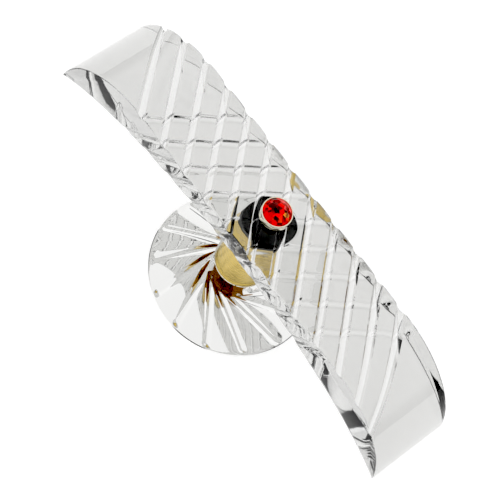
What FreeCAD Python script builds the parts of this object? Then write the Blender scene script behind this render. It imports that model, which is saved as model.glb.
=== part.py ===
import FreeCAD, Part
import math
import os
import Sketcher

# An arched cut-glass bar carried across a turned post on a low fluted metal foot.
# Millimetres, +Z up. The origin is on the table under the post's axis, and the bar's length is along X.
# A tie rod runs from a nut inside the foot, up the post and into the barrel of the jewelled cap,
# and the glass bar turns on that barrel between two washers.

SIZES = [
    ("felt_radius", 24.5, "radius of the felt disc under the foot"),
    ("felt_height", 0.4, "thickness of the felt disc"),
    ("foot_radius", 28.0, "outer radius of the foot"),
    ("foot_edge", 0.8, "height of the foot's rim"),
    ("foot_lip", 0.6, "width of the rim's flat top"),
    ("foot_wall", 1.0, "wall of the foot's shell"),
    ("foot_rise", 4.4, "height of the foot's flat top"),
    ("foot_top_radius", 4.7, "radius of the foot's flat top"),
    ("foot_flank_radius", 82.0, "radius of the foot's bulging flank"),
    ("flute_count", 14, "flutes round the foot"),
    ("flute_offset", 8.5, "distance of a flute's line from the post's axis"),
    ("flute_width", 2.6, "width of a flute"),
    ("flute_depth", 0.3, "depth of a flute at its two ends"),
    ("flute_inner", 11.0, "radius where a flute starts"),
    ("flute_outer", 26.6, "radius where a flute ends"),
    ("weight_radius", 22.0, "radius of the weight in the foot"),
    ("weight_edge", 0.4, "height of the weight's rim"),
    ("recess_radius", 5.6, "radius of the nut's recess in the weight"),
    ("recess_edge", 2.7, "height of the weight at the recess"),
    ("stem_radius", 4.0, "radius of the stem between the foot and the post"),
    ("stem_top", 13.1, "top of the stem"),
    ("rod_radius", 2.0, "M4 tie rod"),
    ("rod_hole_radius", 2.1, "clearance hole for the tie rod"),
    ("rod_bottom", 0.6, "lower end of the tie rod"),
    ("rod_top", 50.6, "upper end of the tie rod"),
    ("washer_radius", 4.5, "M4 washer"),
    ("washer_height", 0.4, "thickness of the M4 washer"),
    ("lock_radius", 3.8, "M4 spring washer"),
    ("lock_height", 0.4, "thickness of the flat spring washer"),
    ("lock_gap", 0.7, "split in the spring washer"),
    ("nut_corner_radius", 4.04, "M4 nut, 7 across its flats"),
    ("nut_height", 2.1, "height of the thin M4 nut"),
    ("grip_radius", 9.0, "radius of the toothed washer under the seating ring"),
    ("grip_height", 0.4, "thickness of the toothed washer"),
    ("grip_teeth", 26, "teeth round the toothed washer"),
    ("grip_notch", 0.9, "side of the square notch between two teeth"),
    ("ring_radius", 9.2, "radius of the seating ring"),
    ("ring_height", 0.6, "height of the seating ring"),
    ("post_radius", 8.5, "outer radius of the post"),
    ("post_bore_radius", 7.0, "bore of the post"),
    ("post_top", 41.2, "top of the post"),
    ("post_chamfer", 0.5, "chamfer at the post's ends"),
    ("plug_height", 5.0, "height of each centring plug"),
    ("pad_radius", 8.6, "radius of the washer under the bar"),
    ("pad_top", 43.55, "top of the washer under the bar"),
    ("seat_height", 43.6, "ground seat under the bar"),
    ("seat_radius", 9.0, "radius of the ground seat under the bar"),
    ("arch_height", 43.4, "underside of the bar at its middle"),
    ("arch_radius", 200.0, "radius of the underside's middle stretch"),
    ("arch_reach", 50.0, "half length of the underside's middle stretch"),
    ("arch_end_radius", 91.0, "radius of the underside towards the tips"),
    ("bar_top", 52.4, "top of the bar"),
    ("bar_flat_reach", 47.5, "half length of the bar's flat top"),
    ("tip_reach", 79.8, "half length of the bar"),
    ("tip_height", 24.1, "height of the bar's tips"),
    ("bar_width", 29.5, "width of the bar"),
    ("groove_depth", 1.3, "depth of the bar's grooves"),
    ("groove_width", 2.2, "width of the bar's grooves"),
    ("top_groove_count", 12, "grooves across the top"),
    ("top_groove_pitch", 10.8, "their spacing along the bar"),
    ("top_groove_angle", -48.5, "their angle to the bar, in degrees"),
    ("top_groove_shift", -1.5, "middle of the top grooves along the bar"),
    ("arch_groove_count", 9, "grooves across the underside"),
    ("arch_groove_pitch", 10.3, "their spacing along the bar"),
    ("arch_groove_angle", 57.0, "their angle to the bar, in degrees"),
    ("bore_radius", 3.8, "bore through the bar"),
    ("cap_seat_radius", 5.5, "ground seat for the cap's washer"),
    ("cap_seat_depth", 0.3, "depth of that seat"),
    ("bush_bore_radius", 2.95, "bore of the bush"),
    ("barrel_radius", 2.9, "barrel of the cap nut"),
    ("barrel_bottom", 44.6, "lower end of the barrel"),
    ("barrel_hole_top", 51.4, "end of the barrel's threaded hole"),
    ("cap_washer_bottom", 52.15, "underside of the cap's washer"),
    ("cap_washer_top", 52.65, "top of the cap's washer"),
    ("cap_radius", 5.0, "radius of the cap and its bezel"),
    ("cap_top", 54.0, "top of the cap nut"),
    ("cup_floor", 54.4, "floor of the bezel cup"),
    ("cup_bore_radius", 4.6, "bore of the bezel cup"),
    ("cup_top", 55.7, "top of the bezel cup"),
    ("foil_radius", 4.5, "radius of the foil under the jewel"),
    ("foil_top", 54.5, "top of the foil"),
    ("jewel_radius", 4.55, "radius of the jewel"),
    ("jewel_girdle", 55.5, "where the jewel's dome starts"),
    ("jewel_top", 57.4, "top of the jewel"),
]

document = FreeCAD.newDocument("arched_glass_bar")
sheet = document.addObject("Spreadsheet::Sheet", "sizes")
for row, (alias, number, note) in enumerate(SIZES, start=1):
    sheet.set(f"A{row}", note)
    sheet.set(f"B{row}", str(number))
    sheet.setAlias(f"B{row}", alias)
document.recompute()


def value(expression):
    """The number that an expression of the sheet's names gives."""
    result = sheet.evalExpression(expression)
    return float(getattr(result, "Value", result))


def sized(name):
    """One driving dimension."""
    return value(f"sizes.{name}")


def outline_edge(sketch, start, end, bend):
    """Add the edge from start to end, and say which of its ends are first and last."""
    begin = FreeCAD.Vector(start[0], start[1], 0)
    finish = FreeCAD.Vector(end[0], end[1], 0)
    if bend is None:
        return sketch.addGeometry(Part.LineSegment(begin, finish)), 1, 2
    radius = value(bend[0])
    chord = finish - begin
    across = FreeCAD.Vector(-chord.y, chord.x, 0).normalize()
    side = 1 if bend[1] == "left" else -1
    centre = begin + chord * 0.5 + across * side * math.sqrt(radius**2 - (chord.Length / 2) ** 2)
    circle = Part.Circle(centre, FreeCAD.Vector(0, 0, 1), radius)
    low, high = (begin, finish) if side > 0 else (finish, begin)
    arc = Part.ArcOfCircle(circle, circle.parameter(low), circle.parameter(high))
    return (sketch.addGeometry(arc), 1, 2) if side > 0 else (sketch.addGeometry(arc), 2, 1)


def outline_sketch(body, outline):
    """A closed outline on the body's XZ plane. Each corner is (x, z) or (x, z, radius, side of centre),
    as expressions of the sheet, and every corner and radius stays tied to the sheet."""
    sketch = body.newObject("Sketcher::SketchObject", body.Name + "_outline")
    plane = [item for item in body.Origin.OriginFeatures if item.Role == "XZ_Plane"][0]
    sketch.AttachmentSupport = [(plane, "")]
    sketch.MapMode = "FlatFace"
    corners = [(value(corner[0]), value(corner[1])) for corner in outline]
    edges = []
    for index, corner in enumerate(outline):
        bend = corner[2:] if len(corner) > 2 else None
        edges.append(outline_edge(sketch, corners[index], corners[(index + 1) % len(corners)], bend))
    for index, (edge, first, last) in enumerate(edges):
        following = edges[(index + 1) % len(edges)]
        sketch.addConstraint(Sketcher.Constraint("Coincident", edge, last, following[0], following[1]))
    for corner, place, (edge, first, last) in zip(outline, corners, edges):
        for kind, axis, expression, number in (("DistanceX", -2, corner[0], place[0]),
                                               ("DistanceY", -1, corner[1], place[1])):
            if expression == "0":
                sketch.addConstraint(Sketcher.Constraint("PointOnObject", edge, first, axis))
                continue
            tied = sketch.addConstraint(Sketcher.Constraint(kind, -1, 1, edge, first, number))
            sketch.setExpression(f"Constraints[{tied}]", expression)
        if len(corner) > 2:
            tied = sketch.addConstraint(Sketcher.Constraint("Radius", edge, value(corner[2])))
            sketch.setExpression(f"Constraints[{tied}]", corner[2])
    return sketch


def turned(label, outline):
    """A piece turned about the post's axis."""
    body = document.addObject("PartDesign::Body", label)
    sketch = outline_sketch(body, outline)
    turning = body.newObject("PartDesign::Revolution", label + "_turning")
    turning.Profile = sketch
    turning.ReferenceAxis = (sketch, ["V_Axis"])
    turning.Angle = 360
    body.Tip = turning
    return body


def disc_ring(label, inner, outer, bottom, top):
    """A plain washer or tube between two radii and two heights."""
    return turned(label, [(inner, bottom), (outer, bottom), (outer, top), (inner, top)])


def cut(label, base, tool):
    """The base with the tool's shape taken out of it."""
    result = document.addObject("Part::Cut", label)
    result.Base = base
    result.Tool = tool
    return result


def fused(label, shapes):
    """Several tools as one."""
    result = document.addObject("Part::MultiFuse", label)
    result.Shapes = shapes
    return result


def upright_cylinder(label, radius, bottom, height):
    """A cylinder on the post's axis, from expressions."""
    cylinder = document.addObject("Part::Cylinder", label)
    cylinder.setExpression("Radius", radius)
    cylinder.setExpression("Height", height)
    cylinder.setExpression("Placement.Base.z", bottom)
    return cylinder


# ---- the foot --------------------------------------------------------------------------------------------

def flank_height(radius):
    """Height of the foot's bulging flank at a distance from the axis."""
    lip, rim_top = value("sizes.foot_radius - sizes.foot_lip"), value("sizes.felt_height + sizes.foot_edge")
    outer = FreeCAD.Vector(lip, 0, rim_top)
    chord = FreeCAD.Vector(sized("foot_top_radius"), 0, sized("foot_rise")) - outer
    bend = sized("foot_flank_radius")
    down = FreeCAD.Vector(-chord.z, 0, chord.x).normalize()
    centre = outer + chord * 0.5 + down * math.sqrt(bend**2 - (chord.Length / 2) ** 2)
    return centre.z + math.sqrt(bend**2 - (radius - centre.x) ** 2)


def flute_bars():
    """The straight bars that leave one flat-bottomed flute each, set round the foot like a pinwheel."""
    offset = sized("flute_offset")
    ends = []
    for radius in (sized("flute_inner"), sized("flute_outer")):
        along = math.sqrt(radius**2 - offset**2)
        ends.append(FreeCAD.Vector(along, 0, flank_height(radius) - sized("flute_depth")))
    slope = math.degrees(math.atan2(ends[0].z - ends[1].z, ends[1].x - ends[0].x))
    tilt = FreeCAD.Rotation(FreeCAD.Vector(0, 1, 0), slope)
    corner = ends[0] + FreeCAD.Vector(0, -offset - sized("flute_width") / 2, 0)
    bars = []
    for number in range(int(sized("flute_count"))):
        bar = document.addObject("Part::Box", f"flute_bar_{number}")
        bar.Length = (ends[1] - ends[0]).Length
        bar.setExpression("Width", "sizes.flute_width")
        bar.setExpression("Height", "sizes.flute_depth * 5")
        turn = FreeCAD.Rotation(FreeCAD.Vector(0, 0, 1), 360.0 * number / sized("flute_count"))
        bar.Placement = FreeCAD.Placement(turn.multVec(corner), turn * tilt)
        bars.append(bar)
    return fused("flutes", bars)


ceiling = "sizes.foot_rise - sizes.foot_wall"
shell = turned("foot_shell", [
    ("sizes.rod_hole_radius", ceiling),
    ("sizes.foot_top_radius", ceiling),
    ("sizes.foot_radius - 2 * sizes.foot_wall", "sizes.felt_height"),
    ("sizes.foot_radius", "sizes.felt_height"),
    ("sizes.foot_radius", "sizes.felt_height + sizes.foot_edge"),
    ("sizes.foot_radius - sizes.foot_lip", "sizes.felt_height + sizes.foot_edge",
     "sizes.foot_flank_radius", "left"),
    ("sizes.foot_top_radius", "sizes.foot_rise"),
    ("sizes.rod_hole_radius", "sizes.foot_rise"),
])
foot = cut("foot", shell, flute_bars())
foot_weight = turned("foot_weight", [
    ("sizes.recess_radius", "sizes.felt_height"),
    ("sizes.weight_radius", "sizes.felt_height"),
    ("sizes.weight_radius", "sizes.felt_height + sizes.weight_edge"),
    ("sizes.recess_radius", "sizes.felt_height + sizes.recess_edge"),
])
base_pad = upright_cylinder("base_pad", "sizes.felt_radius", "0", "sizes.felt_height")
stem = disc_ring("stem", "sizes.rod_hole_radius", "sizes.stem_radius", "sizes.foot_rise", "sizes.stem_top")

# ---- the clamp inside the foot and the post ----------------------------------------------------------------

washer_bottom = ceiling + " - sizes.washer_height"
lock_bottom = washer_bottom + " - sizes.lock_height"
nut_bottom = lock_bottom + " - sizes.nut_height"
foot_washer = disc_ring("foot_washer", "sizes.rod_hole_radius", "sizes.washer_radius", washer_bottom, ceiling)

lock_ring = disc_ring("lock_ring", "sizes.rod_hole_radius", "sizes.lock_radius", lock_bottom, washer_bottom)
split = document.addObject("Part::Box", "lock_split")
split.setExpression("Length", "sizes.lock_radius * 1.5")
split.setExpression("Width", "sizes.lock_gap")
split.setExpression("Height", "sizes.lock_height * 3")
split.setExpression("Placement.Base.y", "-sizes.lock_gap / 2")
split.setExpression("Placement.Base.z", lock_bottom + " - sizes.lock_height")
lock_washer = cut("foot_lock_washer", lock_ring, split)

nut_blank = document.addObject("Part::Prism", "nut_blank")
nut_blank.Polygon = 6
nut_blank.setExpression("Circumradius", "sizes.nut_corner_radius")
nut_blank.setExpression("Height", "sizes.nut_height")
nut_blank.setExpression("Placement.Base.z", nut_bottom)
nut_thread = upright_cylinder("nut_thread", "sizes.rod_radius + 0.02", nut_bottom + " - sizes.nut_height / 2",
                              "sizes.nut_height * 2")
foot_nut = cut("foot_nut", nut_blank, nut_thread)

tie_rod = turned("tie_rod", [
    ("0", "sizes.rod_bottom"),
    ("sizes.rod_radius * 0.8", "sizes.rod_bottom"),
    ("sizes.rod_radius", "sizes.rod_bottom + sizes.rod_radius * 0.2"),
    ("sizes.rod_radius", "sizes.rod_top - sizes.rod_radius * 0.2"),
    ("sizes.rod_radius * 0.8", "sizes.rod_top"),
    ("0", "sizes.rod_top"),
])

ring_bottom = "sizes.stem_top + sizes.grip_height"
ring_top = ring_bottom + " + sizes.ring_height"


def tooth_notches():
    """Square notches with a corner inwards, round the toothed washer's edge."""
    side = sized("grip_notch")
    notches = []
    for number in range(int(sized("grip_teeth"))):
        notch = document.addObject("Part::Box", f"tooth_notch_{number}")
        notch.setExpression("Length", "sizes.grip_notch")
        notch.setExpression("Width", "sizes.grip_notch")
        notch.setExpression("Height", "sizes.grip_height * 3")
        bearing = 360.0 * number / sized("grip_teeth")
        turn = FreeCAD.Rotation(FreeCAD.Vector(0, 0, 1), bearing - 45)
        inner_corner = FreeCAD.Rotation(FreeCAD.Vector(0, 0, 1), bearing).multVec(
            FreeCAD.Vector(sized("grip_radius") - side / math.sqrt(2), 0, 0))
        lift = FreeCAD.Vector(0, 0, value("sizes.stem_top - sizes.grip_height"))
        notch.Placement = FreeCAD.Placement(inner_corner + lift, turn)
        notches.append(notch)
    return fused("tooth_notches", notches)


grip_blank = disc_ring("grip_blank", "sizes.rod_hole_radius", "sizes.grip_radius",
                       "sizes.stem_top", ring_bottom)
toothed_washer = cut("toothed_washer", grip_blank, tooth_notches())
seating_ring = disc_ring("seating_ring", "sizes.rod_hole_radius", "sizes.ring_radius", ring_bottom, ring_top)
post_sleeve = turned("post_sleeve", [
    ("sizes.post_bore_radius", ring_top),
    ("sizes.post_radius - sizes.post_chamfer", ring_top),
    ("sizes.post_radius", ring_top + " + sizes.post_chamfer"),
    ("sizes.post_radius", "sizes.post_top - sizes.post_chamfer"),
    ("sizes.post_radius - sizes.post_chamfer", "sizes.post_top"),
    ("sizes.post_bore_radius", "sizes.post_top"),
])
lower_plug = disc_ring("post_lower_plug", "sizes.rod_hole_radius", "sizes.post_bore_radius",
                       ring_top, ring_top + " + sizes.plug_height")
upper_plug = disc_ring("post_upper_plug", "sizes.rod_hole_radius", "sizes.post_bore_radius",
                       "sizes.post_top - sizes.plug_height", "sizes.post_top")
bar_washer = disc_ring("bar_washer", "sizes.rod_hole_radius", "sizes.pad_radius",
                       "sizes.post_top", "sizes.pad_top")

# ---- the glass bar ---------------------------------------------------------------------------------------

def arch_join():
    """Height of the point where the underside's middle arc meets its end arcs."""
    return "(sizes.arch_height - sizes.arch_radius + sqrt(sizes.arch_radius^2 - sizes.arch_reach^2))"


def shoulder_radius():
    """Radius of the shoulder that leaves the flat top without a corner and ends at the tip."""
    reach = "(sizes.tip_reach - sizes.bar_flat_reach)"
    drop = "(sizes.bar_top - sizes.tip_height)"
    return f"(({reach}^2 + {drop}^2) / (2 * {drop}))"


def bar_blank(label, rise):
    """The bar before it is cut, moved up by rise: a side profile given the bar's width."""
    blank = document.addObject("PartDesign::Body", label)
    sketch = outline_sketch(blank, [
        ("-sizes.bar_flat_reach", f"sizes.bar_top + {rise}", shoulder_radius(), "left"),
        ("-sizes.tip_reach", f"sizes.tip_height + {rise}", "sizes.arch_end_radius", "right"),
        ("-sizes.arch_reach", f"{arch_join()} + {rise}", "sizes.arch_radius", "right"),
        ("sizes.arch_reach", f"{arch_join()} + {rise}", "sizes.arch_end_radius", "right"),
        ("sizes.tip_reach", f"sizes.tip_height + {rise}", shoulder_radius(), "left"),
        ("sizes.bar_flat_reach", f"sizes.bar_top + {rise}"),
    ])
    pad = blank.newObject("PartDesign::Pad", label + "_width")
    pad.Profile = sketch
    pad.setExpression("Length", "sizes.bar_width")
    pad.Midplane = True
    blank.Tip = pad
    return blank


def groove_slabs(label, family, shift):
    """Upright slabs, one for each groove of a family, across the whole bar."""
    angle = sized(family + "_groove_angle")
    turn = FreeCAD.Rotation(FreeCAD.Vector(0, 0, 1), angle)
    length = 1.5 * sized("bar_width") / abs(math.sin(math.radians(angle)))
    middle = (sized(family + "_groove_count") - 1) / 2
    slabs = []
    for number in range(int(sized(family + "_groove_count"))):
        slab = document.addObject("Part::Box", f"{label}_{number}")
        slab.Length = length
        slab.setExpression("Width", "sizes.groove_width")
        slab.setExpression("Height", "sizes.bar_top + 10")
        centre = FreeCAD.Vector(shift + (number - middle) * sized(family + "_groove_pitch"), 0, 0)
        corner = turn.multVec(FreeCAD.Vector(-length / 2, -sized("groove_width") / 2, 0))
        slab.Placement = FreeCAD.Placement(centre + corner, turn)
        slabs.append(slab)
    return fused(label, slabs)


def grooves(family, blank, moved, shift):
    """The glass that the grooves of one face take away, to an even depth below that face."""
    skin = cut(family + "_skin", blank, moved)
    result = document.addObject("Part::Common", family + "_grooves")
    result.Base = skin
    result.Tool = groove_slabs(family + "_slabs", family, shift)
    return result


blank = bar_blank("bar_blank", "0")
top_grooves = grooves("top", blank, bar_blank("bar_under_top", "-sizes.groove_depth"),
                      sized("top_groove_shift"))
arch_grooves = grooves("arch", blank, bar_blank("bar_over_arch", "sizes.groove_depth"), 0.0)
bar_bore = upright_cylinder("bar_bore", "sizes.bore_radius", "0", "sizes.bar_top + 10")
bar_seat = upright_cylinder("bar_seat", "sizes.seat_radius", "0", "sizes.seat_height")
cap_seat = upright_cylinder("cap_seat", "sizes.cap_seat_radius", "sizes.bar_top - sizes.cap_seat_depth", "10")
grooved = cut("bar_grooved_above", blank, top_grooves)
ribbed = cut("bar_grooved", grooved, arch_grooves)
glass_bar = cut("glass_bar", ribbed, fused("bar_fittings", [bar_bore, bar_seat, cap_seat]))
bar_bush = disc_ring("bar_bush", "sizes.bush_bore_radius", "sizes.bore_radius",
                     "sizes.seat_height + 0.1", "sizes.bar_top - sizes.cap_seat_depth - 0.1")

# ---- the jewelled cap ------------------------------------------------------------------------------------

cap_washer = disc_ring("cap_washer", "sizes.barrel_radius", "sizes.cap_radius - 0.2",
                       "sizes.cap_washer_bottom", "sizes.cap_washer_top")
cap_nut = turned("cap_nut", [
    ("sizes.rod_radius + 0.02", "sizes.barrel_bottom"),
    ("sizes.barrel_radius", "sizes.barrel_bottom"),
    ("sizes.barrel_radius", "sizes.cap_washer_top"),
    ("sizes.cap_radius", "sizes.cap_washer_top"),
    ("sizes.cap_radius", "sizes.cap_top"),
    ("0", "sizes.cap_top"),
    ("0", "sizes.barrel_hole_top"),
    ("sizes.rod_radius + 0.02", "sizes.barrel_hole_top"),
])
bezel_cup = turned("bezel_cup", [
    ("0", "sizes.cap_top"),
    ("sizes.cap_radius", "sizes.cap_top"),
    ("sizes.cap_radius", "sizes.cup_top - 0.2"),
    ("sizes.cap_radius - 0.2", "sizes.cup_top"),
    ("sizes.cup_bore_radius", "sizes.cup_top"),
    ("sizes.cup_bore_radius", "sizes.cup_floor"),
    ("0", "sizes.cup_floor"),
])
foil = turned("jewel_foil", [
    ("0", "sizes.cup_floor"),
    ("sizes.foil_radius", "sizes.cup_floor"),
    ("sizes.foil_radius", "sizes.foil_top"),
    ("0", "sizes.foil_top"),
])
dome_rise = "(sizes.jewel_top - sizes.jewel_girdle)"
jewel = turned("jewel", [
    ("0", "sizes.foil_top"),
    ("sizes.jewel_radius", "sizes.foil_top"),
    ("sizes.jewel_radius", "sizes.jewel_girdle",
     f"((sizes.jewel_radius^2 + {dome_rise}^2) / (2 * {dome_rise}))", "left"),
    ("0", "sizes.jewel_top"),
])

PIECES = [foot, foot_weight, base_pad, foot_washer, lock_washer, foot_nut, tie_rod, stem, toothed_washer,
          seating_ring, post_sleeve, lower_plug, upper_plug, bar_washer, glass_bar, bar_bush, cap_washer,
          cap_nut, bezel_cup, foil, jewel]

document.recompute()
for item in document.Objects:
    if "Invalid" in item.State or "Error" in item.State:
        raise RuntimeError(f"{item.Label} did not compute: {item.State}")
for piece in PIECES:
    if piece.Shape.isNull() or not piece.Shape.isValid() or len(piece.Shape.Solids) != 1:
        raise RuntimeError(f"{piece.Label} is not one valid solid")
if foot.Shape.Volume >= shell.Shape.Volume:
    raise RuntimeError("the flutes took nothing from the foot")
if not glass_bar.Shape.Volume < ribbed.Shape.Volume < grooved.Shape.Volume < blank.Shape.Volume:
    raise RuntimeError("a cut took nothing from the bar")

os.makedirs("parts", exist_ok=True)
for piece in PIECES:
    piece.Shape.exportStep(f"parts/{piece.Label}.step")
    print(f"{piece.Label}: {piece.Shape.Volume / 1000:.2f} cm3")
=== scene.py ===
import math

import bmesh
import bpy
from mathutils import Matrix, Vector


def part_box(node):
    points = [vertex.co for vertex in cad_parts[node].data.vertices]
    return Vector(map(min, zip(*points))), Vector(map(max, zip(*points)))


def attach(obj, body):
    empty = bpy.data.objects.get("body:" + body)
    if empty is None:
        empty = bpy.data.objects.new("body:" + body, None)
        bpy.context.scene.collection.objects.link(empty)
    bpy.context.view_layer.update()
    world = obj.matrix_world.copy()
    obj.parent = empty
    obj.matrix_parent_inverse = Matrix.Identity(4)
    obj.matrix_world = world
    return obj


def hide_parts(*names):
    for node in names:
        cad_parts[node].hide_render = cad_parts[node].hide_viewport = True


# An arched cut-glass bar on a gold post and a low fluted metal foot.
# Metres, in the frame that the CAD parts share.

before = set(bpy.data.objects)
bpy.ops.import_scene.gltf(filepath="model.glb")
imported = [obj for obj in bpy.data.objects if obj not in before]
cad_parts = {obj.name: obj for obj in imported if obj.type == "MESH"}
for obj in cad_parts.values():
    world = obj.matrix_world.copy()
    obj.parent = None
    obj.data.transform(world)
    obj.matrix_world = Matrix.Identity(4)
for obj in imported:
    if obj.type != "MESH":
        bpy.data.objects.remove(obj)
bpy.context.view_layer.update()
scene = bpy.context.scene
MM = 0.001


# ---- sizes, some read from the CAD parts, the rest given ---------------------------------------

def top_of(node):
    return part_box(node)[1].z


def bottom_of(node):
    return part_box(node)[0].z


def reach_of(node):
    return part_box(node)[1].x


BAR_TOP = top_of("glass_bar")
TIP_X = reach_of("glass_bar")
TIP_Z = bottom_of("glass_bar")
HALF_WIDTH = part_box("glass_bar")[1].y
FLAT_X = 47.5 * MM
ARCH_Z = 43.4 * MM
ARCH_RADIUS = 200.0 * MM
ARCH_REACH = 50.0 * MM
FOOT_OFFSET = 8.5 * MM
FOOT_CREST = 4.7 * MM
FOOT_WALL = 1.0 * MM
ROD_HOLE = 2.1 * MM
BORE = 3.8 * MM
BAR_SEAT_Z = 43.6 * MM
BAR_SEAT_RADIUS = 9.0 * MM
CAP_SEAT_DEPTH = 0.3 * MM
CAP_SEAT_RADIUS = 5.5 * MM
FLUTES = 14
FLUTE_HALF = 1.5 * MM
FLUTE_DEPTH = 0.55 * MM
FLUTE_CROWN = 0.25 * MM


# ---- mesh helpers ------------------------------------------------------------------------------

def mesh_piece(name, verts, faces, sharp=None):
    """A named mesh object, faces turned outwards; edges sharper than the given degrees stay crisp."""
    mesh = bpy.data.meshes.new(name)
    mesh.from_pydata([tuple(v) for v in verts], [], faces)
    bm = bmesh.new()
    bm.from_mesh(mesh)
    bmesh.ops.remove_doubles(bm, verts=bm.verts, dist=1e-7)
    bmesh.ops.recalc_face_normals(bm, faces=bm.faces)
    bm.to_mesh(mesh)
    bm.free()
    if sharp is not None:
        mesh.shade_smooth()
        mesh.set_sharp_from_angle(angle=math.radians(sharp))
    piece = bpy.data.objects.new(name, mesh)
    scene.collection.objects.link(piece)
    return piece


def lathe(name, outline, segments=96, turn=None, relief=None, sharp=30):
    """A closed turned piece. The outline is a loop of (radius, height); turn(radius) twists a ring, and
    relief(share, radius, height) gives a point of that ring its own (radius, height)."""
    verts, faces = [], []
    for radius, height in outline:
        for k in range(segments):
            share = k / segments
            angle = 2 * math.pi * share + (turn(radius) if turn else 0.0)
            r, z = relief(share, radius, height) if relief else (radius, height)
            verts.append((r * math.cos(angle), r * math.sin(angle), z))
    rings = len(outline)
    for i in range(rings):
        j = (i + 1) % rings
        if outline[i][0] < 1e-9 and outline[j][0] < 1e-9:
            continue
        for k in range(segments):
            m = (k + 1) % segments
            faces.append((i * segments + k, i * segments + m, j * segments + m, j * segments + k))
    return mesh_piece(name, verts, faces, sharp)


def arc_points(centre, radius, start, stop, count):
    """Points (x, z) on an arc, between two angles in degrees."""
    points = []
    for k in range(count + 1):
        angle = math.radians(start + (stop - start) * k / count)
        points.append((centre[0] + radius * math.cos(angle), centre[1] + radius * math.sin(angle)))
    return points


def cut_out(piece, cutter):
    """Take the cutter's shape out of a piece for good, and remove the cutter."""
    change = piece.modifiers.new("cut", "BOOLEAN")
    change.operation = "DIFFERENCE"
    change.solver = "EXACT"
    change.object = cutter
    bpy.context.view_layer.update()
    shape = bpy.data.meshes.new_from_object(piece.evaluated_get(bpy.context.evaluated_depsgraph_get()))
    piece.modifiers.clear()
    piece.data = shape
    bpy.data.objects.remove(cutter)


def fit_piece(piece, node, slot, body):
    """The piece takes a CAD part's place, material slot and body."""
    piece.data.materials.clear()
    piece.data.materials.append(finishes[slot])
    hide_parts(node)
    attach(piece, body)


# ---- materials ---------------------------------------------------------------------------------

def material(name, **inputs):
    made = bpy.data.materials.new(name)
    made.use_nodes = True
    shader = made.node_tree.nodes["Principled BSDF"]
    for key, number in inputs.items():
        shader.inputs[key.replace("_", " ")].default_value = number
    return made


def noise(tree, scale, stretch=(1, 1, 1)):
    """Procedural noise in the object's own coordinates."""
    place = tree.nodes.new("ShaderNodeTexCoord")
    mapping = tree.nodes.new("ShaderNodeMapping")
    mapping.inputs["Scale"].default_value = stretch
    texture = tree.nodes.new("ShaderNodeTexNoise")
    texture.inputs["Scale"].default_value = scale
    texture.inputs["Detail"].default_value = 3.0
    tree.links.new(place.outputs["Object"], mapping.inputs["Vector"])
    tree.links.new(mapping.outputs["Vector"], texture.inputs["Vector"])
    return texture.outputs["Fac"]


def ramp(tree, source, stops):
    """A colour ramp from a number; the stops are (position, grey or colour)."""
    node = tree.nodes.new("ShaderNodeValToRGB")
    elements = node.color_ramp.elements
    while len(elements) < len(stops):
        elements.new(0.5)
    for element, (position, shade) in zip(elements, stops):
        element.position = position
        colour = shade if isinstance(shade, tuple) else (shade, shade, shade)
        element.color = (*colour, 1)
    tree.links.new(source, node.inputs["Fac"])
    return node.outputs["Color"]


def wear(made, scale, low, high, bump=0.0, bump_scale=900.0, stretch=(1, 1, 1)):
    """Uneven roughness between two values, and a fine bump."""
    tree = made.node_tree
    shader = tree.nodes["Principled BSDF"]
    tree.links.new(ramp(tree, noise(tree, scale), [(0.35, low), (0.7, high)]), shader.inputs["Roughness"])
    if bump:
        node = tree.nodes.new("ShaderNodeBump")
        node.inputs["Strength"].default_value = bump
        node.inputs["Distance"].default_value = 0.0002
        tree.links.new(noise(tree, bump_scale, stretch=stretch), node.inputs["Height"])
        tree.links.new(node.outputs["Normal"], shader.inputs["Normal"])
    return made


def clear_glass():
    """Clear glass, a little grey. Its base colour paints the cut grooves: a little darker on their flanks,
    as painted shade, and white at their bottoms, as a painted highlight. The groove bottoms are also not
    quite as smooth.
    """
    made = material("clear_glass", IOR=1.5, Transmission_Weight=1.0)
    tree = made.node_tree
    shader = tree.nodes["Principled BSDF"]
    groove = tree.nodes.new("ShaderNodeAttribute")
    groove.attribute_name = "groove"
    # Painted light: the colour dips on the groove flanks as painted shade and turns white at the groove
    # bottoms as a painted highlight.
    tree.links.new(ramp(tree, groove.outputs["Fac"], [(0.0, (0.70, 0.70, 0.69)), (0.2, (0.62, 0.62, 0.61)),
                                                     (0.5, (1.0, 1.0, 1.0))]), shader.inputs["Base Color"])
    tree.links.new(ramp(tree, groove.outputs["Fac"], [(0.2, 0.0), (0.7, 0.22)]), shader.inputs["Roughness"])
    return made


def chrome():
    made = material("chrome", Base_Color=(0.95, 0.95, 0.94, 1), Metallic=1.0)
    return wear(made, 80, 0.03, 0.09)


def satin_gold():
    made = material("gold", Base_Color=(0.72, 0.55, 0.19, 1), Metallic=1.0)
    return wear(made, 300, 0.14, 0.28, bump=0.4, bump_scale=260, stretch=(1, 1, 7))


def brass(name, colour, low, high):
    made = material(name, Base_Color=(*colour, 1), Metallic=1.0)
    return wear(made, 400, low, high, bump=0.2, bump_scale=1500)


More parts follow.
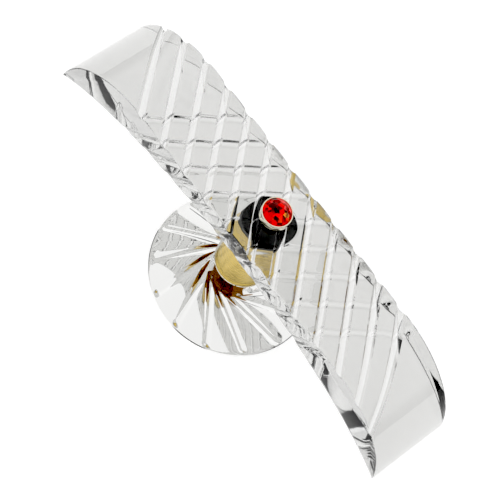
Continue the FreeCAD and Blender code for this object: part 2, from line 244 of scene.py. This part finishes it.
def red_glass():
    """Red stone over foil facets: each facet leans its own way, under a smooth polished dome. Each facet is
    painted its own red: some dark as painted shade, a few orange to yellow as painted glints.
    """
    made = material("red_glass", Metallic=1.0, Roughness=0.1, Coat_Weight=1.0, Coat_Roughness=0.01)
    tree = made.node_tree
    shader = tree.nodes["Principled BSDF"]
    place = tree.nodes.new("ShaderNodeTexCoord")
    cells = tree.nodes.new("ShaderNodeTexVoronoi")
    cells.inputs["Scale"].default_value = 760
    tree.links.new(place.outputs["Object"], cells.inputs["Vector"])
    split = tree.nodes.new("ShaderNodeSeparateColor")
    tree.links.new(cells.outputs["Color"], split.inputs["Color"])
    # Painted light: the ramp's dark end is painted shade and its orange to yellow end is painted glints on
    # the facets.
    colour = ramp(tree, split.outputs["Red"], [(0.0, (0.15, 0.0, 0.0)), (0.3, (0.8, 0.002, 0.0)),
                                               (0.88, (1.0, 0.008, 0.0)), (0.95, (1.0, 0.1, 0.002)),
                                               (1.0, (1.0, 0.45, 0.03))])
    tree.links.new(colour, shader.inputs["Base Color"])
    lean = tree.nodes.new("ShaderNodeVectorMath")
    lean.operation = "MULTIPLY_ADD"
    spread, rise = 0.85, 0.5
    lean.inputs[1].default_value = (2 * spread, 2 * spread, 0.0)
    lean.inputs[2].default_value = (-spread, -spread, rise)
    tree.links.new(cells.outputs["Color"], lean.inputs[0])
    unit = tree.nodes.new("ShaderNodeVectorMath")
    unit.operation = "NORMALIZE"
    tree.links.new(lean.outputs["Vector"], unit.inputs[0])
    tree.links.new(unit.outputs["Vector"], shader.inputs["Normal"])
    return made


finishes = {
    "clear_glass": clear_glass(),
    "chrome": chrome(),
    "iron": wear(material("iron", Base_Color=(0.16, 0.16, 0.17, 1), Metallic=0.6), 300, 0.5, 0.8, bump=0.6),
    "felt": wear(material("felt", Base_Color=(0.05, 0.05, 0.055, 1)), 900, 0.9, 1.0,
                 bump=1.0, bump_scale=2500),
    "brass": brass("brass", (0.66, 0.40, 0.12), 0.1, 0.25),
    "dark_brass": brass("dark_brass", (0.32, 0.16, 0.045), 0.15, 0.35),
    "silver": wear(material("silver", Base_Color=(0.85, 0.84, 0.80, 1), Metallic=1.0), 200, 0.05, 0.15),
    "gold": satin_gold(),
    "nylon": wear(material("nylon", Base_Color=(0.8, 0.79, 0.74, 1)), 200, 0.4, 0.5),
    "black_rubber": wear(material("black_rubber", Base_Color=(0.003, 0.003, 0.003, 1),
                                  Specular_IOR_Level=0.1), 300, 0.35, 0.5),
    "clear_sleeve": material("clear_sleeve", Base_Color=(0.9, 0.9, 0.9, 1), IOR=1.45,
                             Transmission_Weight=1.0, Roughness=0.02),
    "bezel": wear(material("bezel", Base_Color=(0.84, 0.80, 0.66, 1), Metallic=1.0), 500, 0.06, 0.2),
    "foil": wear(material("foil", Base_Color=(1.0, 0.36, 0.06, 1), Metallic=1.0), 600, 0.08, 0.2),
    "red_glass": red_glass(),
}

# ---- the glass bar -----------------------------------------------------------------------------

DROP = BAR_TOP - TIP_Z
SHOULDER = ((TIP_X - FLAT_X) ** 2 + DROP**2) / (2 * DROP)
TOP_END = FLAT_X + SHOULDER * math.asin((TIP_X - FLAT_X) / SHOULDER)
EDGE = 0.45 * MM
TOP = {"pitch": 10.8 * MM, "count": 12, "shift": -1.5 * MM, "angle": math.radians(-48), "end": TOP_END,
       "half": 1.5 * MM, "depth": 1.5 * MM, "crown": 0.8 * MM, "soft": 1.0}
ARCH = {"pitch": 10.3 * MM, "count": 9, "shift": 0.0, "angle": math.radians(57), "end": TIP_X,
        "half": 1.9 * MM, "depth": 0.7 * MM, "crown": 0.2 * MM, "soft": 1.6}


def top_line(s):
    """Point (x, z) and outward normal on the bar's top, at an arc length from its middle."""
    sign = math.copysign(1, s)
    s = abs(s)
    if s <= FLAT_X:
        return sign * s, BAR_TOP, 0.0, 1.0
    angle = (s - FLAT_X) / SHOULDER
    x = FLAT_X + SHOULDER * math.sin(angle)
    return sign * x, BAR_TOP - SHOULDER * (1 - math.cos(angle)), sign * math.sin(angle), math.cos(angle)


def arch_line(x):
    """Point (x, z) and outward normal on the bar's underside."""
    sign = math.copysign(1, x)
    a = abs(x)
    lean = math.asin(ARCH_REACH / ARCH_RADIUS)
    join = ARCH_Z - ARCH_RADIUS * (1 - math.cos(lean))
    cx, cz, r = 0.0, ARCH_Z - ARCH_RADIUS, ARCH_RADIUS
    if a > ARCH_REACH:
        dx, dz = TIP_X - ARCH_REACH, TIP_Z - join
        r = -(dx * dx + dz * dz) / (2 * (dx * math.sin(lean) + dz * math.cos(lean)))
        cx, cz = ARCH_REACH - r * math.sin(lean), join - r * math.cos(lean)
    z = cz + math.sqrt(r * r - (a - cx) ** 2)
    return x, z, -sign * (a - cx) / r, -(z - cz) / r


def groove_centres(family):
    middle = (family["count"] - 1) / 2
    return [family["shift"] + (k - middle) * family["pitch"] for k in range(family["count"])]


def groove_stations(family):
    """Where the mesh's columns cross the bar's centre line: close together across each groove."""
    half = family["half"] / abs(math.sin(family["angle"]))
    centres = groove_centres(family)
    end = family["end"]
    spots = []
    for centre in centres:
        spots += [centre + half * k / 8 for k in range(-8, 9)]
    for before, after in zip(centres, centres[1:]):
        low, high = before + half, after - half
        spots += [low + (high - low) * k / 9 for k in range(1, 9)]
    for side, edge in ((-1, centres[0] - half), (1, centres[-1] + half)):
        spots += [side * end + (edge - side * end) * k / 26 for k in range(26)]
    return sorted(spots)


def groove_relief(family, offset, between, reach):
    """Depth of the surface below the crest at a distance across from a groove's middle."""
    half = family["half"]
    crown = family["crown"] * (1 - min(1.0, offset / reach)) ** 2 if between else 0.0
    if offset >= half:
        return crown
    lip = family["crown"] * (1 - half / reach) ** 2 if between else 0.0
    return lip + (family["depth"] - lip) * (1 - (offset / half) ** 2) ** family["soft"]


def edge_rows():
    """Places across the bar, with how far its long edges are rounded away there."""
    inner = HALF_WIDTH - EDGE
    flat = [(-inner + 2 * inner * k / 30, 0.0) for k in range(31)]
    bend = [(inner + EDGE * math.sin(math.radians(a)), EDGE * (1 - math.cos(math.radians(a))))
            for a in (22.5, 45, 67.5, 90)]
    return [(-y, drop) for y, drop in reversed(bend)] + flat + bend


def face_grid(family, line):
    """One face of the bar, as columns of points that follow its grooves and straighten at the tips."""
    centres = groove_centres(family)
    lean = 1 / math.tan(family["angle"])
    across = abs(math.sin(family["angle"]))
    reach = family["pitch"] * across / 2
    grid = []
    for q in groove_stations(family):
        past = max(0.0, centres[0] - q, q - centres[-1])
        room = family["end"] - abs(centres[0] if q < 0 else centres[-1])
        weight = 1 - past / room
        offset = min(abs(c - q) for c in centres) * across
        depth = groove_relief(family, offset, centres[0] < q < centres[-1], reach)
        column = []
        for y, drop in edge_rows():
            s = max(-family["end"], min(family["end"], q + y * lean * weight))
            x, z, nx, nz = line(s)
            fade = min(1.0, (family["end"] - abs(s)) / (7 * MM))
            sink = (depth + drop) * fade
            column.append((x - nx * sink, y, z - nz * sink))
        grid.append(column)
    return grid


def groove_share(point):
    """How deep in a groove a point of the bar's surface lies: 1 at the bottom of the top's grooves."""
    if abs(point.x) > TIP_X - 9 * MM or abs(point.y) > HALF_WIDTH - 0.2 * MM:
        return 0.0
    over = max(0.0, abs(point.x) - FLAT_X)
    surface = BAR_TOP - SHOULDER + math.sqrt(SHOULDER**2 - over**2)
    below = (surface - point.z) * math.cos(math.asin(over / SHOULDER))
    if below < 2.5 * MM:
        return max(0.0, below - TOP["crown"]) / (TOP["depth"] - TOP["crown"])
    arch = arch_line(point.x)
    above = (point.z - arch[1]) * -arch[3]
    return 0.35 * min(1.0, max(0.0, above - ARCH["crown"]) / (ARCH["depth"] - ARCH["crown"]))


def build_glass_bar():
    verts, faces, borders = [], [], []
    for grid in (face_grid(TOP, top_line), face_grid(ARCH, arch_line)):
        base, height = len(verts), len(grid[0])
        for column in grid:
            verts.extend(column)
        for i in range(len(grid) - 1):
            for j in range(height - 1):
                corner = base + i * height + j
                faces.append((corner, corner + height, corner + height + 1, corner + 1))
        borders.append([[base + i * height + side for i in range(len(grid))] for side in (0, height - 1)])
    for side in (0, 1):
        faces.append(tuple(borders[0][side] + borders[1][side][::-1]))
    bar = mesh_piece("cut_glass_bar", verts, faces)
    below, above, cap_seat = BAR_SEAT_Z - 13.6 * MM, BAR_TOP + 17.6 * MM, BAR_TOP - CAP_SEAT_DEPTH
    fittings = lathe("fittings", [
        (0, below), (BAR_SEAT_RADIUS, below), (BAR_SEAT_RADIUS, BAR_SEAT_Z), (BORE, BAR_SEAT_Z),
        (BORE, cap_seat), (CAP_SEAT_RADIUS, cap_seat), (CAP_SEAT_RADIUS, above), (0, above)], 64)
    cut_out(bar, fittings)
    bar.data.shade_smooth()
    bar.data.set_sharp_from_angle(angle=math.radians(30))
    groove = bar.data.attributes.new("groove", "FLOAT", "POINT")
    for vertex, share in zip(bar.data.vertices, groove.data):
        share.value = groove_share(vertex.co)
    fit_piece(bar, "glass_bar", "clear_glass", "bar")


# ---- the foot ----------------------------------------------------------------------------------

def foot_lean(radius):
    """How far a flute has turned round the foot at a radius: its line passes the axis at FOOT_OFFSET."""
    return math.acos(min(1.0, FOOT_OFFSET / max(radius, 9.0 * MM)))


def build_foot():
    """The foot's shell: a low bulging flank with a pinwheel of hollow flutes, mirror bright."""
    bottom, top, rim = bottom_of("foot"), top_of("foot"), reach_of("foot")
    edge, lip, ceiling = bottom + 0.8 * MM, rim - 0.6 * MM, top - FOOT_WALL
    steps = 60
    flank = []
    for k in range(steps + 1):
        share = k / steps
        flank.append((FOOT_CREST + (lip - FOOT_CREST) * share, top + (edge - top) * share**2.0))
    outline = [(ROD_HOLE, top)] + flank
    outline += [(rim - 0.2 * MM, edge - 0.05 * MM), (rim, edge - 0.25 * MM), (rim, bottom + 0.1 * MM)]
    outline += [(rim - 0.1 * MM, bottom), (26 * MM, bottom), (FOOT_CREST, ceiling), (ROD_HOLE, ceiling)]

    def fluted(share, radius, height):
        if not FOOT_CREST < radius < lip or height < bottom + 0.3 * MM:
            return radius, height
        phase = (share * FLUTES) % 1.0
        away = min(phase, 1 - phase)
        span = 2 * math.pi * radius * math.sin(foot_lean(radius)) / FLUTES
        deep = FLUTE_DEPTH * max(0.0, 1 - (away * span / FLUTE_HALF) ** 2)
        crown = FLUTE_CROWN * (1 - min(1.0, 2 * away)) ** 2
        blend = max(0.0, min(1.0, (radius - FOOT_CREST) / (4.0 * MM), (lip - radius) / (1.2 * MM)))
        return radius, height - max(deep, crown) * blend

    foot = lathe("fluted_foot", outline, FLUTES * 28, foot_lean, fluted, sharp=25)
    fit_piece(foot, "foot", "chrome", "root")


# ---- the metal parts ---------------------------------------------------------------------------

def build_post():
    """The post's tube, with the fine rings that turning leaves."""
    low, high = bottom_of("post_sleeve"), top_of("post_sleeve")
    outer, bore = reach_of("post_sleeve"), 7.0 * MM
    steps = 240
    wall = []
    for k in range(steps + 1):
        z = low + 0.5 * MM + (high - low - 1.0 * MM) * k / steps
        waves = math.sin(k * 0.52) + 0.6 * math.sin(k * 0.31 + 1.0) + 0.4 * math.sin(k * 1.13)
        wall.append((outer - 0.03 * MM * (2.0 + waves), z))
    outline = [(bore, low), (outer - 0.5 * MM, low)] + wall + [(outer - 0.5 * MM, high), (bore, high)]
    fit_piece(lathe("turned_post", outline, 128), "post_sleeve", "gold", "root")


def build_rod():
    """The tie rod with its thread."""
    low, high = bottom_of("tie_rod"), top_of("tie_rod")
    radius, pitch, depth = 2.0 * MM, 0.7 * MM, 0.35 * MM
    per_turn, steps = 24, 6
    turns = int((high - low) / pitch) - 1
    verts, faces = [], []
    rows = turns * steps
    for i in range(rows + 1):
        for k in range(per_turn):
            share = (i / steps + k / per_turn) % 1.0
            r = radius - depth * (1 - abs(2 * share - 1))
            z = low + (high - low) * i / rows
            angle = 2 * math.pi * k / per_turn
            verts.append((r * math.cos(angle), r * math.sin(angle), z))
    for i in range(rows):
        row, after = i * per_turn, (i + 1) * per_turn
        for k in range(per_turn):
            m = (k + 1) % per_turn
            faces.append((row + k, row + m, after + m, after + k))
    faces.append(tuple(range(per_turn)))
    faces.append(tuple(rows * per_turn + k for k in range(per_turn)))
    fit_piece(mesh_piece("threaded_rod", verts, faces, 25), "tie_rod", "brass", "root")


def build_bezel():
    """The bright cup round the stone, with a rolled lip."""
    low, high = bottom_of("bezel_cup"), top_of("bezel_cup")
    outer, bore = reach_of("bezel_cup"), 4.56 * MM
    lip = (outer + bore) / 2
    roll = (outer - bore) / 2
    outline = [(0, low), (outer - 0.1 * MM, low), (outer, low + 0.1 * MM), (outer, high - roll)]
    outline += arc_points((lip, high - roll), roll, 0, 180, 8)[1:]
    outline += [(bore, low + 0.4 * MM), (0, low + 0.4 * MM)]
    fit_piece(lathe("bezel", outline, 96), "bezel_cup", "bezel", "root")


def build_jewel():
    """The domed stone."""
    low, high = bottom_of("jewel"), top_of("jewel")
    radius, girdle = reach_of("jewel"), 55.5 * MM
    rise = high - girdle
    ball = (radius**2 + rise**2) / (2 * rise)
    open_angle = math.degrees(math.asin(radius / ball))
    dome = arc_points((0, high - ball), ball, 90 - open_angle, 90, 16)
    outline = [(0, low), (radius, low + 0.35 * MM)] + dome
    fit_piece(lathe("domed_jewel", outline, 96), "jewel", "red_glass", "root")


build_glass_bar()
build_foot()
build_post()
build_rod()
build_bezel()
build_jewel()

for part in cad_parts.values():
    for place, old in enumerate(part.data.materials):
        part.data.materials[place] = finishes.get(old.name.split(".")[0], old)

# ---- floor, light and camera -------------------------------------------------------------------

floor_mat = material("floor", Base_Color=(0.7, 0.7, 0.7, 1), Roughness=0.8, Emission_Color=(1, 1, 1, 1),
                     Emission_Strength=0.5)
FLOOR_Z = -0.02 * MM
FLOOR_REACH = 12.0
corners = [(x * FLOOR_REACH, y * FLOOR_REACH, FLOOR_Z) for x, y in ((-1, -1), (1, -1), (1, 1), (-1, 1))]
floor = mesh_piece("floor", corners, [(0, 1, 2, 3)])
floor.data.materials.append(floor_mat)


def dark_card(tree, direction, towards):
    """A round dark card in the studio, in one direction: a share from 1 outside it to 0 within."""
    dot = tree.nodes.new("ShaderNodeVectorMath")
    dot.operation = "DOT_PRODUCT"
    dot.inputs[1].default_value = Vector(towards).normalized()
    tree.links.new(direction, dot.inputs[0])
    return ramp(tree, dot.outputs["Value"], [(0.925, 1.0), (0.955, 0.0)])


def studio_light():
    """Soft light from all round, dark near the horizon and on one low card."""
    world = bpy.data.worlds.new("studio")
    scene.world = world
    world.use_nodes = True
    tree = world.node_tree
    place = tree.nodes.new("ShaderNodeTexCoord")
    split = tree.nodes.new("ShaderNodeSeparateXYZ")
    tree.links.new(place.outputs["Generated"], split.inputs["Vector"])
    sky = ramp(tree, split.outputs["Z"], [(0.0, 0.03), (0.14, 0.1), (0.3, 0.95), (1.0, 0.85)])
    mix = tree.nodes.new("ShaderNodeMix")
    mix.data_type = "RGBA"
    mix.blend_type = "MULTIPLY"
    mix.inputs["Factor"].default_value = 1.0
    tree.links.new(sky, mix.inputs["A"])
    tree.links.new(dark_card(tree, place.outputs["Generated"], (0.35, -0.9, 0.2)), mix.inputs["B"])
    tree.links.new(mix.outputs["Result"], tree.nodes["Background"].inputs["Color"])
    tree.nodes["Background"].inputs["Strength"].default_value = 1.08


def photo_camera():
    azimuth, elevation, roll = math.radians(17.9), math.radians(64.5), math.radians(36.2)
    unit = 28.0 * MM
    back = Vector((math.sin(azimuth) * math.cos(elevation), -math.cos(azimuth) * math.cos(elevation),
                   math.sin(elevation)))
    level = Vector((math.cos(azimuth), math.sin(azimuth), 0))
    above = back.cross(level)
    right = level * math.cos(roll) + above * math.sin(roll)
    up = above * math.cos(roll) - level * math.sin(roll)
    data = bpy.data.cameras.new("camera")
    data.lens = 136.5
    data.sensor_width = 36.0
    data.clip_start = 0.01
    camera = bpy.data.objects.new("camera", data)
    scene.collection.objects.link(camera)
    place = (right * 0.208 + up * 0.280 + back * 22.03) * unit + Vector((0, 0, 0.4 * MM))
    camera.matrix_world = Matrix.Translation(place) @ Matrix((right, up, back)).transposed().to_4x4()
    scene.camera = camera


studio_light()
photo_camera()
scene.view_settings.view_transform = "Standard"
scene.view_settings.use_curve_mapping = True
scene.view_settings.curve_mapping.black_level = (0.055, 0.055, 0.055)
scene.view_settings.curve_mapping.update()
